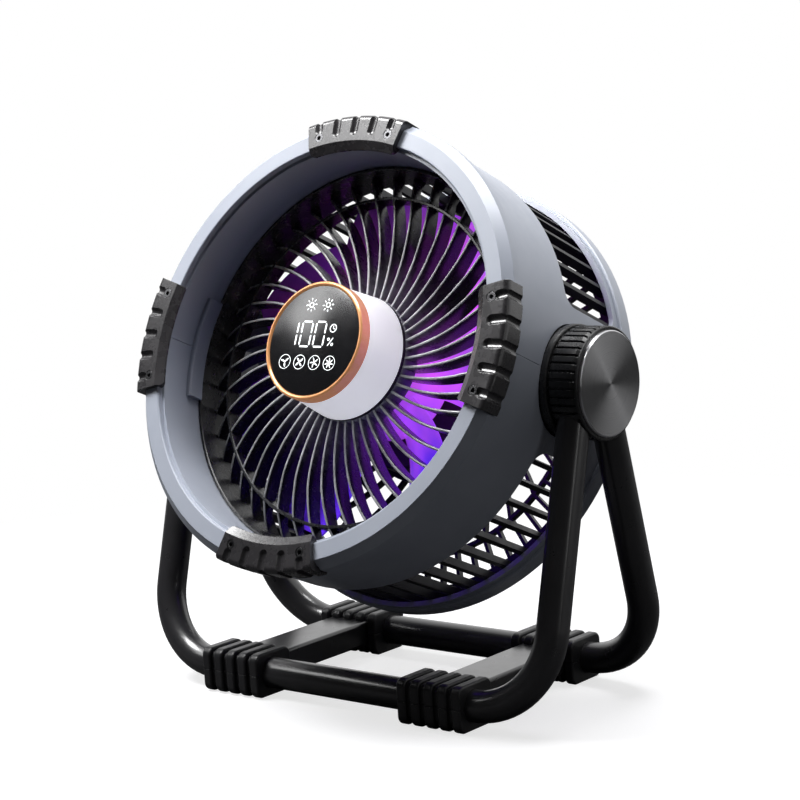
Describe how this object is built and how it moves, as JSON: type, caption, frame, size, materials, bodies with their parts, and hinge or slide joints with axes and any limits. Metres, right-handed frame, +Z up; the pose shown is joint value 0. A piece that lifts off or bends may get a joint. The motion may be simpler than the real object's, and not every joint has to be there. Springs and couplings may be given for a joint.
{
  "type": "portable fan",
  "caption": "Portable camping fan: round vented head with a central lamp and round display, tilting on side pivots in a bent-tube floor stand with ribbed foot clamps.",
  "frame": {"origin": "on the floor, at the centre of the object's outline seen from above", "axes": "+Z up, the fan faces -Y and its tilt axis runs along X; at rest the head looks up by 23.6 degrees"},
  "size_m": [0.316, 0.2296, 0.3418],
  "materials": {
    "stand_tube": "satin black powder coat",
    "clamp_plastic": "satin black moulded plastic",
    "black_plastic": "satin black moulded plastic",
    "bumper_plastic": "firm dark grey rubber",
    "shell_plastic": "satin blue-grey moulded plastic",
    "housing_plastic": "matt dark plastic",
    "cap_metal": "turned, anodised dark, bright bevel",
    "steel": "zinc plated",
    "bush_brass": "turned",
    "fibre": "vulcanised fibre",
    "diffuser": "opal white",
    "bezel_copper": "rose copper, satin",
    "display_glass": "black printed touch glass, polished",
    "board": "circuit board laminate",
    "led_white": "white light emitters",
    "wheel_violet": "glossy tinted violet plastic",
    "magnet": "ferrite",
    "stator_iron": "laminated iron with windings",
    "cell_wrap": "shrink sleeve"
  },
  "bodies": {
    "stand": {"front_tube": "stand_tube", "rear_tube": "stand_tube", "crossbar_left": "stand_tube", "crossbar_right": "stand_tube", "clamp_top_front_left": "clamp_plastic", "clamp_top_front_right": "clamp_plastic", "clamp_top_rear_left": "clamp_plastic", "clamp_top_rear_right": "clamp_plastic", "clamp_foot_front_left": "clamp_plastic", "clamp_foot_front_right": "clamp_plastic", "clamp_foot_rear_left": "clamp_plastic", "clamp_foot_rear_right": "clamp_plastic", "clamp_screws": "steel", "pivot_housing_left": "black_plastic", "pivot_housing_right": "black_plastic", "hub_cap_left": "cap_metal", "hub_cap_right": "cap_metal", "friction_washer_left": "fibre", "friction_washer_right": "fibre", "leg_set_screws": "steel"},
    "head": {"upper_shell": "shell_plastic", "lower_shell": "shell_plastic", "rear_ring": "shell_plastic", "bumper_right": "bumper_plastic", "bumper_top": "bumper_plastic", "bumper_left": "bumper_plastic", "bumper_bottom": "bumper_plastic", "bumper_screws": "steel", "joint_cover_left": "black_plastic", "joint_cover_right": "black_plastic", "front_grille": "black_plastic", "rear_basket": "black_plastic", "lamp_base": "black_plastic", "lamp_screws": "steel", "lamp_board": "board", "lamp_leds": "led_white", "lamp_diffuser": "diffuser", "bezel_ring": "bezel_copper", "display_lens": "display_glass", "display_board": "board", "display_carrier": "housing_plastic", "stator": "stator_iron", "motor_base": "housing_plastic", "motor_screws": "steel", "bearings": "steel", "battery_housing": "housing_plastic", "battery_cells": "cell_wrap", "control_board": "board", "charge_port": "steel", "back_cover": "housing_plastic", "rear_screws": "steel", "pivot_bolts": "steel", "pivot_bushes": "bush_brass", "spring_washers": "steel", "pivot_nuts": "steel"},
    "rotor": {"fan_wheel": "wheel_violet", "rotor_cup": "steel", "magnet_ring": "magnet", "rotor_shaft": "steel", "wheel_nut": "steel"}
  },
  "joints": [
    {"name": "head_tilt", "type": "hinge", "parent": "stand", "child": "head", "pos_m": [0, 0.00725, 0.1882], "axis": [-1, 0, 0], "range_deg": [-113.6, 66.4]},
    {"name": "rotor_spin", "type": "hinge", "parent": "head", "child": "rotor", "pos_m": [0, 0.00725, 0.1882], "axis": [0, -0.9164, 0.4003], "continuous": true}
  ]
}
